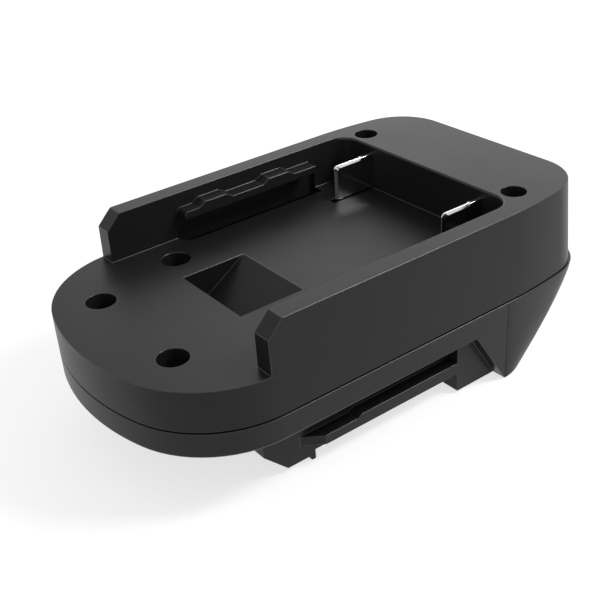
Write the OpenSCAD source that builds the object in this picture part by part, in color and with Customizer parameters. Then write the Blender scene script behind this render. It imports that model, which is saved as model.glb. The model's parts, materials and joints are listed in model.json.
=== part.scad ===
// Slide-on adapter between a cordless tool and a battery pack.
// X runs from the round nose to the rear, Y across, Z up. The origin is the middle of the
// footprint, on the plane that the foot and the tail touch. All sizes are in millimetres.

/* [Body outline] */
// Length from the nose to the rear, at the wall tops
body_l = 134; // [126:1:142]
// How far the rear wall leans out on its way down to the parting line
rear_draft = 1.7; // [0:0.1:2.5]
// How far the lower shell's rim stands out behind the upper shell
rim_proud = 1.2; // [0:0.1:2]
// Width across the tops of the side walls
top_w = 77.2; // [74:0.2:79]
// Widening of the body from the wall tops to the parting line, both sides together
flare = 1.5; // [0.5:0.1:4]
// Radius of the shallow curve across the nose
nose_front_r = 66; // [56:1:80]
// Radius where the nose turns into the sides
nose_corner_r = 28; // [22:1:32]
// Radius of the rear corners
rear_corner_r = 15; // [10:1:18]
// Radius of the slow curve that leads each side into its rear corner
flank_r = 120; // [100:5:180]
// Distance from the rear face to where that slow curve starts
flank_l = 32.9; // [30:0.1:36]

/* [Levels] */
// Height of the side walls and the rear block above the resting plane
wall_h = 48; // [47:0.5:54]
// Height of the deck that the pack slides over
deck_h = 34.8; // [34:0.2:36]
// Height of the parting line
parting_h = 23.9; // [23:0.1:25]
// Height of the flat underside around the foot
belly_h = 17; // [16:0.2:18]
// Width of the open groove at the parting line
groove = 0.4; // [0.3:0.1:0.8]

/* [Walls] */
// Thickness of the outer walls
shell_t = 2.4; // [2:0.1:3]
// Thickness of the deck and of the floor of the lower shell
plate_t = 2.4; // [2:0.1:2.8]
// Thickness of the roof over the rear block
roof_t = 2.6; // [2:0.1:3.2]
// Width of the small slope round the bottom edge of the lower shell
edge_slope = 0.3; // [0.2:0.1:1.4]

/* [Pack bay] */
// Distance between the two side walls
bay_w = 66.9; // [65:0.5:68.5]
// Length of the side walls, ahead of the bay's rear wall
wall_l = 80.4; // [78:0.1:83]
// Slope cut off the top of each wall's front end
front_slope = 4.15; // [2:0.25:6]
// Distance from the rear face to the bay's rear wall
bay_end = 26.4; // [25:0.1:29]
// Radius of the bay's rear corners
bay_corner_r = 6; // [3:0.5:9]
// Slope along the bay's rear top edge
bay_lip = 0.4; // [0.3:0.1:1.4]

/* [Rails] */
// Distance between the inner faces of the two rails
rail_gap = 58.6; // [56:0.2:61]
// Start of the rails, ahead of the bay's rear wall
rail_ahead = 59.2; // [56:0.1:62]
// Length of the rails
rail_l = 44.9; // [43:0.5:48]
// Underside of the rails above the deck
rail_lift = 6.7; // [6.2:0.1:7.2]
// Thickness of the rails at their low stretches
rail_t = 2.1; // [1.6:0.1:2.6]
// Extra height of the two raised stretches
rail_wave = 1.25; // [0.6:0.05:1.6]
// Width of the floor slot under each rail, inside the wall's face
slot_w = 3.45; // [3:0.05:4]
// Depth of the recess in the wall under each rail
rail_recess = 1.2; // [0.6:0.1:1.6]
// Floor slot past the rail's rear end
slot_past = 2.2; // [1:0.1:3]

/* [Latch pit] */
// Front of the pit, ahead of the bay's rear wall
pit_ahead = 70.9; // [69.9:0.1:72]
// Length of the pit
pit_l = 18.8; // [16:0.2:20]
// Width of the pit
pit_w = 26.2; // [22:0.2:28]
// Depth of the pit at its front wall
pit_depth = 11.9; // [8:0.1:12.4]
// Thickness of the pit's walls
pit_t = 1.8; // [1.2:0.1:2]

/* [Screw wells] */
// Nose pair, from the tip of the nose
nose_well_in = 15.2; // [15:0.1:17.5]
// Nose pair, hole to hole
nose_well_gap = 34.6; // [30:0.2:38]
// Middle pair, ahead of the bay's rear wall
mid_well_ahead = 66.9; // [66.3:0.1:68]
// Middle pair, hole to hole
mid_well_gap = 46.8; // [46:0.2:48]
// Rear pair, from the rear face
rear_well_in = 21.5; // [20.7:0.1:21.7]
// Rear pair, hole to hole
rear_well_gap = 58.5; // [58:0.1:59]
// Diameter of the wells in the deck
deck_well_d = 7.8; // [7.2:0.1:8.2]
// Diameter of the wells in the rear block
rear_well_d = 6.8; // [6.6:0.1:7.4]
// Wall of the post round each well
post_t = 1.35; // [1.2:0.05:1.5]
// Height of the shoulder that the screw heads sit on
seat_h = 27; // [26.4:0.1:27.6]

/* [Screws] */
// Diameter of the screw heads
head_d = 5.6; // [5:0.1:6]
// Height of the screw heads
head_h = 2; // [1.6:0.1:2.4]
// Diameter of the screw shanks
shank_d = 3; // [2.6:0.1:3.2]
// Length of the screws under the head
screw_l = 8.2; // [7:0.1:8.4]
// Gap round a shank in its clearance hole, on the diameter
shank_gap = 0.4; // [0.2:0.05:0.6]

/* [Blade terminals] */
// Distance between the two blades, middle to middle
blade_gap = 43.8; // [42:0.2:44]
// Thickness of the blades
blade_t = 1.2; // [0.8:0.1:1.3]
// Front edge of the blades ahead of the bay's rear wall
blade_reach = 13.6; // [11.5:0.1:14.5]
// Top edge of the blades above the deck
blade_h = 10.45; // [9:0.05:11]
// Width of the slope coined along the blades' front and top edges
blade_coin = 0.8; // [0.4:0.1:1.1]
// Thickness that this slope leaves at the edge
blade_edge_t = 0.3; // [0.2:0.05:0.6]
// Part of the blades' length in the bay that is coined
blade_coined = 0.7; // [0.5:0.05:0.9]
// Radius of the blades' front top corner
blade_corner_r = 1.2; // [0.5:0.1:2]
// Width of the floor slots that the blades stand in
blade_slot_w = 2.4; // [1.8:0.1:2.8]
// Reach of those slots ahead of the blades
blade_slot_past = 1.2; // [0.6:0.1:2]

/* [Rail foot] */
// Width of the foot between its grooves
foot_w = 63.6; // [62:0.2:65]
// Width over the side flanges and the rear block
flange_w = 71; // [68:0.2:72]
// Length of the foot, ahead of its rear block
foot_l = 59.5; // [59:0.1:62]
// Length of the front block
front_block_l = 15.1; // [14.5:0.1:17]
// Height at which the front block's lead-in slope starts
lead_in_h = 8; // [7:0.1:9]
// Bottom of the front block above the resting plane
block_h = 1.35; // [0.8:0.05:2]
// Length of the small foot at the end of the front block
toe_l = 1.2; // [1:0.1:3]
// Length of the slope ahead of that small foot
toe_lead = 0.9; // [0.4:0.1:1.5]
// Bottom of the small foot above the resting plane
toe_h = 0; // [0:0.1:0.7]
// Bottom of the foot between the two blocks
core_h = 2.7; // [2.2:0.1:3.2]
// Underside of the flanges
flange_h = 6; // [5.6:0.1:6.6]
// Thickness of the flanges where the groove is wide
flange_t = 2.7; // [2.2:0.1:3.2]
// Step up of the flanges to where the groove is narrow
flange_step = 0.75; // [0.3:0.05:1.2]
// Start of that step, ahead of the rear block
step_ahead = 33.9; // [31:0.1:36]
// Length of the slope at the step
step_l = 1.3; // [0.8:0.1:2]
// Length of the flanges, ahead of the rear block
flange_l = 48.9; // [47:0.1:50.5]
// Length of the slanted front end of the flanges
flange_taper = 5.2; // [3:0.1:7]
// Front face of the rear block, from the rear face
rear_block_in = 47.1; // [45.7:0.1:48.2]
// Bottom of the rear block above the resting plane
rear_block_h = 0.65; // [0.4:0.05:1.2]

/* [Tail] */
// Length of the tail at the level of the underside, from the rear face
tail_l = 43.8; // [41.8:0.2:44.8]
// Lean of the tail's front face, backwards per unit down
tail_lean = 0.64; // [0.5:0.01:0.7]
// How far the tail's rear face leans in down to the resting plane
tail_rise = 22.4; // [21.5:0.1:23.2]
// Rounding of the tail's lower edge
tail_round = 0.3; // [0.2:0.1:1.2]

/* [Tool contacts] */
// Distance between the two contact slots
clip_gap = 23; // [20:0.5:26]
// Width of the contact slots in the front block
clip_slot_w = 1.8; // [1.2:0.1:2.2]
// Thickness of the clips' strip
clip_t = 0.5; // [0.4:0.05:0.6]
// Height of the clips
clip_h = 6; // [4.5:0.25:6.5]
// Diameter of the insulated leads
lead_d = 2.4; // [1.8:0.1:2.6]

/* [Latch] */
// Travel of the button, and of the catch that it lifts
travel = 3; // [2:0.25:3]
// Middle of the catch, ahead of the rear block
catch_ahead = 10.6; // [9.6:0.1:11.6]
// Length of the catch along the foot
catch_l = 8; // [7:0.1:9]
// Width of the catch
catch_w = 16.8; // [14:0.2:18]
// Lowest point of the catch above the resting plane
catch_tip_h = 0.3; // [0.1:0.05:0.6]
// Top of the catch, where the springs stand
catch_top_h = 15; // [14.6:0.1:15.4]
// Width of the button
button_w = 26; // [20:0.5:30]
// Underside of the button
button_h = 6.5; // [6.2:0.1:7]
// Height of the button
button_t = 8; // [6.5:0.1:8.6]
// How far the button stands out of the tail
button_proud = 0.8; // [0.3:0.1:1.2]
// Sliding gap round the moving pieces
slide_gap = 0.3; // [0.2:0.05:0.4]
// Outer diameter of the springs
spring_d = 5; // [4:0.1:5.6]
// Wire of the springs
spring_wire = 0.6; // [0.5:0.05:0.8]
// Distance between the two springs
spring_gap = 9; // [8:0.2:10]

/* [Hidden] */
$fn = 48;

// Overlap of cutting bodies past the faces that they cut
cut = 1;
// Thickness of the slices that a sloping cut runs between
thin = 0.01;
// Steps along each rounded stretch of an outline
arc_steps = 14;
// Steps along each slow curve of an outline
slow_steps = 8;

half_top = top_w / 2;
half_part = top_w / 2 + flare / 2;
nose_x = (body_l + rear_draft + rim_proud) / 2;
rear_x = body_l - nose_x;
part_x = rear_x + rear_draft;
rim_x = part_x + rim_proud;
flank_x = rear_x - flank_l;
bay_rear = rear_x - bay_end;
wall_front = wall_l - bay_rear;
rail_start = rail_ahead - bay_rear;
pit_front = pit_ahead - bay_rear;
nose_well_x = nose_x - nose_well_in;
mid_well_x = mid_well_ahead - bay_rear;
rear_well_x = rear_x - rear_well_in;
rear_block_x = rear_x - rear_block_in;
foot_front = foot_l - rear_block_x;
flange_front = flange_l - rear_block_x;
step_x = step_ahead - rear_block_x;
tail_front = rear_x - tail_l;
tail_rear = rear_x - tail_rise;
catch_x = rear_block_x - catch_ahead;
wall_in = bay_w / 2;
deck_under = deck_h - plate_t;
upper_foot = parting_h + groove / 2;
lower_rim = parting_h - groove / 2;
belly_top = belly_h + plate_t;

// Tongue of the lower shell that closes the groove from inside
low_half = half_part - 0.1;
rim_half = half_part + 0.15;
side_h = belly_h + 1.2 * edge_slope;
tongue_in = 1.2;
tongue_t = 1.1;
tongue_h = 1.4;
tongue_gap = 0.1;

rail_in = rail_gap / 2;
rail_z = deck_h + rail_lift;
slot_in = wall_in - slot_w;
slot_ahead = 0.7;
slot_x0 = -rail_start - slot_ahead;
slot_x1 = -rail_start + rail_l + slot_past;

// Starts of the raised stretches, their slopes and their tops, as parts of the rail's length
wave_at = [0.105, 0.58];
wave_run = 0.051;
wave_l = 0.145;
rail_end_r = 1.2;
rail_root = wall_in + rail_recess + 0.3;

post_seat = parting_h + 0.1;
lower_post_r = shank_d / 2 + 2.4;
pilot_r = shank_d / 2 + 0.05;
nose_wells = [for (s = [-1, 1]) [-nose_well_x, s * nose_well_gap / 2]];
mid_wells = [for (s = [-1, 1]) [-mid_well_x, s * mid_well_gap / 2]];
rear_wells = [for (s = [-1, 1]) [rear_well_x, s * rear_well_gap / 2]];

foot_in = foot_w / 2;
flange_out = flange_w / 2;
block_end = -foot_front + front_block_l;
lead_in_l = lead_in_h - block_h;
foot_t = 2.4;
foot_floor = core_h + foot_t;
block_floor = block_h + foot_t;
tail_in_z = block_h + foot_t;
tail_bow = 1.52;
tail_extra = 0.6;

blade_x = bay_rear - blade_reach;
coined_x = blade_x + blade_coined * blade_reach;
blade_hold = 6.2;
blade_back = bay_rear + blade_hold;
blade_sink = 3.8;
blade_low = deck_under - blade_sink;
tab_in = 2.8;
tab_x = bay_rear - tab_in;
tab_l = 4;
tab_drop = 5;
tab_low = blade_low - tab_drop;
play = 0.1;
carrier_top = deck_under - play;
carrier_t = 5.5;
carrier_low = carrier_top - carrier_t;
carrier_wall = 1.4;
carrier_x0 = blade_x + carrier_wall;
carrier_past = 13.4;
carrier_x1 = bay_rear + carrier_past;
carrier_half = blade_gap / 2 + blade_t / 2 + carrier_wall;
carrier_screw_in = 4;
carrier_screw_x = carrier_x1 - carrier_screw_in;
carrier_screw_y = 12;
carrier_post_d = 6;

cross_w = 0.8;
small_shank_d = 2.2;
small_head_d = 4;
small_head_h = 1.5;
small_screw_l = 7;

clip_in = 3.2;
clip_x0 = -foot_front + clip_in;
clip_l = 9;
clip_lift = 0.6;
clip_z = lead_in_h + clip_lift;
clip_slot_drop = 1.6;
clip_slot_low = clip_z - clip_slot_drop;
clip_tail_h = 2.4;
clip_tail_l = 4.4;
clip_back = 1.8;
clip_room = clip_back + clip_t + play;
clip_tail = clip_x0 + clip_l + clip_tail_l;
clip_carrier_end = 0.9;
clip_carrier_x1 = clip_x0 + clip_l + clip_carrier_end;
clip_carrier_wall = 2.6;
clip_carrier_half = clip_gap / 2 + clip_room + clip_carrier_wall;
clip_carrier_top = clip_z + clip_h + clip_lift;
cover_t = 1.4;
cover_hole_in = 3;
cover_hole_d = 2;

prong_t = 2.6;
prong_in = catch_w / 2 + slide_gap;
prong_low = foot_floor + 2 * play;
wedge_l = 4;
wedge_x = catch_x - wedge_l / 2;
wedge_low = foot_floor + 2;
shoulder = 1.4;
shoulder_t = 2.5;
arm_x0 = catch_x + catch_l / 2 + shoulder + travel + 2 * slide_gap;
arm_top = 11.6;
arm_t = 2.5;
wedge_gap = 0.2;
button_in = 1.6;
button_x0 = tail_rear + button_in;
button_ear = 1.5;
button_wall = 1.8;
spring_solid = 4.6;
keeper_low = catch_top_h + travel + spring_solid;
keeper_t = 2;
keeper_half = 20;
keeper_post_y = 16.5;
keeper_post_r = 3.2;
peg_gap = 0.4;
peg_d = spring_d - 2 * (spring_wire + peg_gap);
peg_l = 1.5;
keeper_w = 8.8;

// Points of an arc about c from angle a to angle b, without its last point
function arc(c, r, a, b, n = arc_steps) =
    [for (i = [0 : n - 1]) c + r * [cos(a + (b - a) * i / n), sin(a + (b - a) * i / n)]];

// Half angle of the nose curve, and where its corner arcs are centred
function nose_run(hw) = sqrt(pow(nose_front_r - nose_corner_r, 2) - pow(hw - nose_corner_r, 2));
function nose_angle(hw) = atan2(hw - nose_corner_r, nose_run(hw));
nose_c = nose_front_r - nose_x;

// Where the rear corner arcs are centred
corner_x = rear_x - rear_corner_r;
function corner_y(hw) = hw - flank_r + sqrt(pow(flank_r - rear_corner_r, 2) - pow(corner_x - flank_x, 2));
function corner_angle(hw) = atan2(corner_y(hw) - hw + flank_r, corner_x - flank_x);

// Plan of the body, hw wide each way before it is drawn in by inset; rear is where its rear face lies
function outline(hw, inset = 0, rear = rear_x) =
    let (
        al = nose_angle(hw),
        be = corner_angle(hw),
        nx = nose_c - nose_run(hw),
        ny = hw - nose_corner_r,
        cy = corner_y(hw),
        k = (rear - inset - flank_x) / (rear_x - inset - flank_x),
        far = concat(
            arc([corner_x, cy], rear_corner_r - inset, 0, be),
            arc([flank_x, hw - flank_r], flank_r - inset, be, 90, slow_steps),
            arc([nx, ny], nose_corner_r - inset, 90, 180 - al),
            arc([nose_c, 0], nose_front_r - inset, 180 - al, 180, slow_steps)
        ),
        near = [for (i = [len(far) - 1 : -1 : 0]) [far[i].x, -far[i].y]],
        tip = [[nose_c - nose_front_r + inset, 0]]
    )
    [for (p = concat(far, tip, near)) p.x > flank_x ? [flank_x + (p.x - flank_x) * k, p.y] : p];

// Rear of the lower shell at height z: it leans out in a slow bow up to the rim
function tail_x(z) = rim_x - (rim_x - tail_rear) * pow(1 - min(1, max(0, z / lower_rim)), tail_bow);

// Closed skin over rings of points, each ring with the same number of them
module skin(rings) {
    n = len(rings);
    m = len(rings[0]);
    polyhedron(
        points = [for (g = rings) for (p = g) p],
        faces = concat(
            [[for (k = [m - 1 : -1 : 0]) k]],
            [for (i = [0 : n - 2]) for (k = [0 : m - 1])
                [i * m + k, i * m + (k + 1) % m, (i + 1) * m + (k + 1) % m, (i + 1) * m + k]],
            [[for (k = [0 : m - 1]) (n - 1) * m + k]]
        )
    );
}

// Solid between plans that lie on top of each other, each given as [height, points]
module loft(plans) {
    skin([for (g = plans) [for (i = [len(g[1]) - 1 : -1 : 0]) [g[1][i].x, g[1][i].y, g[0]]]]);
}

function unit(v) = v / norm(v);
function heading(path, i) = unit(path[min(i + 1, len(path) - 1)] - path[max(i - 1, 0)]);

// Round bar of radius r along a path that never runs along the side direction
module bar(path, r, sides, side) {
    skin([for (i = [0 : len(path) - 1])
        let (d = heading(path, i), u = unit(cross(d, side)), v = cross(u, d))
        [for (k = [0 : sides - 1]) path[i] + r * (u * cos(360 * k / sides) + v * sin(360 * k / sides))]]);
}

// Shape drawn in X and Z, made t thick inwards from y
module beside(y, t) {
    translate([0, y, 0]) rotate([90, 0, 0]) linear_extrude(t) children();
}

// The same, w wide across the middle
module across(w) {
    beside(w / 2, w) children();
}

module both_sides() {
    children();
    mirror([0, 1, 0]) children();
}

// Box with opposite corners a and b
module block(a, b) {
    translate(a) cube(b - a);
}

module well_posts(wells, d, top) {
    for (p = wells) translate([p.x, p.y, post_seat]) cylinder(h = top - post_seat, d = d + 2 * post_t);
}

module well_bores(wells, d, top) {
    for (p = wells) {
        translate([p.x, p.y, seat_h]) cylinder(h = top - seat_h + cut, d = d);
        translate([p.x, p.y, post_seat - cut]) cylinder(h = seat_h, d = shank_d + shank_gap);
    }
}

// Upper shell

module bay_plan() {
    union() {
        translate([-nose_x - cut, -wall_in]) square([nose_x + cut + bay_rear - bay_corner_r, bay_w]);
        translate([bay_rear - 2 * bay_corner_r, -wall_in + bay_corner_r])
            square([2 * bay_corner_r, bay_w - 2 * bay_corner_r]);
        for (s = [-1, 1]) translate([bay_rear - bay_corner_r, s * (wall_in - bay_corner_r)])
            circle(bay_corner_r);
    }
}

module bay_room() {
    translate([0, 0, deck_h]) linear_extrude(wall_h - deck_h + cut) bay_plan();
    across(body_l) polygon([
        [-body_l, deck_h], [-wall_front, deck_h], [-wall_front, wall_h - front_slope],
        [-wall_front + front_slope, wall_h], [-wall_front + front_slope, wall_h + cut],
        [-body_l, wall_h + cut]
    ]);
    hull() {
        translate([0, 0, wall_h - bay_lip]) linear_extrude(thin) bay_plan();
        translate([bay_lip, 0, wall_h]) linear_extrude(cut) bay_plan();
    }
}

module upper_room() {
    wall = half_part - shell_t;
    loft([[upper_foot - cut, outline(half_part, tongue_in - tongue_gap, part_x)],
          [lower_rim + tongue_h + tongue_gap, outline(half_part, tongue_in - tongue_gap, part_x)]]);
    loft([[lower_rim, outline(half_part, shell_t, part_x)], [deck_under, outline(half_part, shell_t, part_x)]]);
    intersection() {
        loft([[deck_under - cut, outline(half_top, shell_t)], [wall_h - roof_t, outline(half_top, shell_t)]]);
        block([bay_rear + shell_t, -wall, 0], [rear_x, wall, wall_h]);
    }
}

module rail() {
    x0 = -rail_start;
    z0 = rail_z;
    z1 = rail_z + rail_t;
    z2 = z1 + rail_wave;
    end_r = rail_end_r;
    beside(rail_root, rail_root - rail_in) polygon(concat(
            [[x0, z0]],
            [for (a = [180 : -15 : 90]) [x0 + end_r + end_r * cos(a), z1 - end_r + end_r * sin(a)]],
            [for (a = wave_at)
                for (p = [[0, z1], [wave_run, z2], [wave_run + wave_l, z2], [2 * wave_run + wave_l, z1]])
                    [x0 + rail_l * (a + p.x), p.y]],
            [[x0 + rail_l, z1], [x0 + rail_l, z0]]
        ));
}

// Floor slot under the left rail, with the recess in the wall beside it
module slot_plan() {
    translate([slot_x0, wall_in]) square([slot_x1 - slot_x0, rail_recess]);
    translate([slot_x0 + slot_w, slot_in]) square([slot_x1 - slot_x0 - slot_w, slot_w + rail_recess]);
    intersection() {
        translate([slot_x0 + slot_w, wall_in]) circle(slot_w);
        translate([slot_x0, slot_in]) square([slot_w + cut, slot_w + rail_recess]);
    }
}

module pit_profile(grow) {
    polygon([
        [-pit_front - grow, deck_h - plate_t * (grow > 0 ? 0.5 : -1)],
        [-pit_front - grow, deck_h - pit_depth - grow],
        [-pit_front + pit_l + grow, deck_h - grow],
        [-pit_front + pit_l + grow, deck_h - plate_t * (grow > 0 ? 0.5 : -1)]
    ]);
}

module upper_shell() {
    wells = concat(nose_wells, mid_wells);
    color("#3a3a3c") difference() {
        union() {
            difference() {
                loft([[upper_foot, outline(half_part, 0, part_x)], [wall_h, outline(half_top)]]);
                bay_room();
                upper_room();
            }
            across(pit_w + 2 * pit_t) pit_profile(pit_t);
            well_posts(wells, deck_well_d, deck_h - plate_t / 2);
            well_posts(rear_wells, rear_well_d, wall_h - roof_t / 2);
            for (s = [-1, 1]) translate([carrier_screw_x, s * carrier_screw_y, carrier_top])
                cylinder(h = wall_h - roof_t / 2 - carrier_top, d = carrier_post_d);
        }
        across(pit_w) pit_profile(0);
        well_bores(wells, deck_well_d, deck_h);
        well_bores(rear_wells, rear_well_d, wall_h);
        for (s = [-1, 1]) translate([carrier_screw_x, s * carrier_screw_y, carrier_top - cut])
            cylinder(h = small_screw_l, d = small_shank_d + 0.1);
        both_sides() {
            translate([0, 0, deck_under - cut]) linear_extrude(rail_z - deck_under + cut) slot_plan();
            block([blade_x - blade_slot_past, blade_gap / 2 - blade_slot_w / 2, deck_under - cut],
                  [bay_rear, blade_gap / 2 + blade_slot_w / 2, deck_h + cut]);
            block([bay_rear - cut, blade_gap / 2 - blade_t / 2 - 0.05, deck_under - cut],
                  [bay_rear + shell_t + cut, blade_gap / 2 + blade_t / 2 + 0.05, deck_h + blade_h + 0.05]);
        }
    }
    color("#3a3a3c") both_sides() rail();
}

// Lower shell

module tail_profile(grow) {
    polygon([
        [tail_front + grow - 6 * tail_lean, belly_h + 6], [tail_front + grow, belly_h],
        [tail_front + grow + (belly_h - tail_round) * tail_lean, tail_round],
        [tail_front + grow + belly_h * tail_lean + tail_round, 0],
        [rim_x + cut, 0], [rim_x + cut, belly_h + 6]
    ]);
}

// Half width of the lower shell at height z, from the foot of its sides up to its rim
function lower_half(z) = low_half + (rim_half - low_half) * max(0, z - side_h) / (lower_rim - side_h);

// Plans of the lower shell at n + 1 heights from a to b, drawn in by inset
function lower_plans(a, b, n, inset = 0, extra = 0) =
    [for (i = [0 : n]) let (z = a + (b - a) * i / n) [z, outline(lower_half(z), inset, tail_x(z) - extra)]];

module tail_solid() {
    intersection() {
        loft(concat(
            [[0, outline(low_half, tail_round * 0.8, tail_x(0))]],
            lower_plans(tail_round, side_h, 9)
        ));
        across(3 * half_part) tail_profile(0);
    }
}

module tail_room() {
    intersection() {
        loft(lower_plans(tail_in_z, belly_top + cut / 2, 9, shell_t, tail_extra));
        across(3 * half_part) tail_profile(shell_t);
    }
}

module foot_solid() {
    across(foot_w) polygon([
        [-foot_front, belly_h + 1], [-foot_front, lead_in_h], [-foot_front + lead_in_l, block_h],
        [block_end - toe_l - toe_lead, block_h], [block_end - toe_l, toe_h], [block_end, toe_h],
        [block_end, core_h],
        [rear_block_x + 1, core_h], [rear_block_x + 1, belly_h + 1]
    ]);
    across(flange_w) polygon([
        [rear_block_x, belly_h + 1], [rear_block_x, rear_block_h],
        [tail_front + (belly_h - rear_block_h) * tail_lean + 4, rear_block_h],
        [tail_front + 4, belly_h + 1]
    ]);
    intersection() {
        across(flange_w) polygon([
            [-flange_front, flange_h], [rear_block_x + 1, flange_h],
            [rear_block_x + 1, flange_h + flange_t + flange_step],
            [-step_x + step_l, flange_h + flange_t + flange_step],
            [-step_x, flange_h + flange_t], [-flange_front, flange_h + flange_t]
        ]);
        linear_extrude(belly_h) polygon([
            [-flange_front, -foot_in], [-flange_front + flange_taper, -flange_out],
            [rear_block_x + cut, -flange_out], [rear_block_x + cut, flange_out],
            [-flange_front + flange_taper, flange_out], [-flange_front, foot_in]
        ]);
    }
}

module foot_room() {
    across(foot_w - 2 * foot_t) polygon([
        [-foot_front + 2.2, belly_top + 1], [-foot_front + 2.2, lead_in_h + 1],
        [-foot_front + lead_in_l + 0.9, block_floor], [block_end - 0.2, block_floor],
        [block_end + 2.2, foot_floor], [rear_block_x + 2.4, foot_floor],
        [rear_block_x + 2.4, tail_in_z], [tail_front + 12, tail_in_z], [tail_front + 6, belly_top + 1]
    ]);
}

module lower_posts() {
    lower_post(nose_wells, belly_top, post_seat, lower_post_r);
    lower_post(mid_wells, block_floor, post_seat, lower_post_r);
    lower_post(rear_wells, side_h, post_seat, lower_post_r);
    intersection() {
        lower_post(rear_wells, tail_in_z, side_h, lower_post_r);
        tail_solid();
    }
    lower_post([for (s = [-1, 1]) [catch_x, s * keeper_post_y]], foot_floor, keeper_low, keeper_post_r);
}

// Posts from just inside the floor at height low up to top
module lower_post(places, low, top, r) {
    for (p = places) translate([p.x, p.y, low - cut]) cylinder(h = top - low + cut, r = r);
}

module lower_shell() {
    all_wells = concat(nose_wells, mid_wells, rear_wells);
    color("#37373a") difference() {
        union() {
            difference() {
                union() {
                    loft(concat([[belly_h, outline(low_half, edge_slope, tail_x(belly_h))]],
                                lower_plans(side_h, lower_rim, 4)));
                    loft([[lower_rim - cut, outline(half_part, tongue_in, part_x)],
                          [lower_rim + tongue_h, outline(half_part, tongue_in, part_x)]]);
                    tail_solid();
                    foot_solid();
                }
                loft([[belly_top, outline(low_half, shell_t, tail_x(belly_top) - tail_extra)],
                      [lower_rim + tongue_h + cut, outline(half_part, tongue_in + tongue_t, part_x)]]);
                tail_room();
                foot_room();
            }
            lower_posts();
        }
        for (p = all_wells) translate([p.x, p.y, seat_h - screw_l - 0.4]) cylinder(h = screw_l, r = pilot_r);
        for (s = [-1, 1]) {
            translate([catch_x, s * keeper_post_y, keeper_low - small_screw_l])
                cylinder(h = small_screw_l + cut, d = small_shank_d + 0.1);
            block([-foot_front - cut, s * clip_gap / 2 - clip_slot_w / 2, clip_slot_low],
                  [-foot_front + lead_in_l, s * clip_gap / 2 + clip_slot_w / 2, clip_z + clip_h]);
        }
        block([catch_x - catch_l / 2 - slide_gap, -catch_w / 2 - slide_gap, -cut],
              [catch_x + catch_l / 2 + slide_gap, catch_w / 2 + slide_gap, foot_floor + cut]);
        block([tail_rear - button_in, -button_w / 2 - slide_gap, button_h - slide_gap],
              [rim_x + cut, button_w / 2 + slide_gap, button_h + button_t + slide_gap]);
    }
}

// Screws

module screw(at, l, d, head, head_t, up = 1) {
    translate(at) rotate([up > 0 ? 0 : 180, 0, 0]) difference() {
        union() {
            translate([0, 0, -l]) cylinder(h = l, d = d);
            cylinder(h = head_t, d = head);
        }
        for (a = [0, 90]) rotate(a) translate([-head * 0.3, -cross_w / 2, head_t * 0.45])
            cube([head * 0.6, cross_w, head_t]);
    }
}

module deck_screws() {
    color("#8f9296") for (p = concat(nose_wells, mid_wells))
        screw([p.x, p.y, seat_h], screw_l, shank_d, head_d, head_h);
}

module rear_screws() {
    color("#8f9296") for (p = rear_wells) screw([p.x, p.y, seat_h], screw_l, shank_d, head_d, head_h);
}

module carrier_screws() {
    color("#8f9296") for (s = [-1, 1])
        screw([carrier_screw_x, s * carrier_screw_y, carrier_low], small_screw_l + cover_t,
              small_shank_d, small_head_d, small_head_h, -1);
}

module keeper_screws() {
    color("#8f9296") for (s = [-1, 1])
        screw([catch_x, s * keeper_post_y, keeper_low + keeper_t], small_screw_l,
              small_shank_d, small_head_d, small_head_h);
}

// Blade terminals and their carrier

// Side view of the coined stretch of a blade, drawn in by inset at its front and its top
module coined_plan(inset) {
    top = deck_h + blade_h - inset;
    r = blade_corner_r;
    x0 = blade_x + inset;
    polygon(concat(
        [[x0, blade_low]],
        [for (a = [180 : -15 : 90]) [x0 + r + r * cos(a), top - r + r * sin(a)]],
        [[coined_x, top], [coined_x, blade_low]]
    ));
}

module blade() {
    union() {
        hull() {
            across(blade_edge_t) coined_plan(0);
            across(blade_t) coined_plan(blade_coin);
        }
        across(blade_t) polygon([
            [coined_x, blade_low], [coined_x, deck_h + blade_h], [blade_back, deck_h + blade_h],
            [blade_back, blade_low], [tab_x + tab_l, blade_low], [tab_x + tab_l, tab_low],
            [tab_x, tab_low], [tab_x, blade_low]
        ]);
    }
}

module positive_blade() {
    color("#c9ccd0") translate([0, blade_gap / 2, 0]) blade();
}

module negative_blade() {
    color("#c9ccd0") translate([0, -blade_gap / 2, 0]) blade();
}

module blade_carrier() {
    color("#26272a") difference() {
        block([carrier_x0, -carrier_half, carrier_low], [carrier_x1, carrier_half, carrier_top]);
        both_sides() block([blade_x - cut, blade_gap / 2 - blade_t / 2 - 0.05, blade_low - 0.05],
                           [blade_back + 0.1, blade_gap / 2 + blade_t / 2 + 0.05, carrier_top + cut]);
        both_sides() block([tab_x - 0.1, blade_gap / 2 - blade_t / 2 - 0.05, carrier_low - cut],
                           [tab_x + tab_l + 0.1, blade_gap / 2 + blade_t / 2 + 0.05, blade_low + cut]);
        for (s = [-1, 1]) translate([carrier_screw_x, s * carrier_screw_y, carrier_low - cut])
            cylinder(h = carrier_top, d = small_shank_d + 0.2);
        block([carrier_x0 + 2 * carrier_wall, 4 * carrier_wall - carrier_half, carrier_low + carrier_wall],
              [carrier_screw_x - carrier_post_d, carrier_half - 4 * carrier_wall, carrier_top + cut]);
    }
}

// Tool contacts

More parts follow.
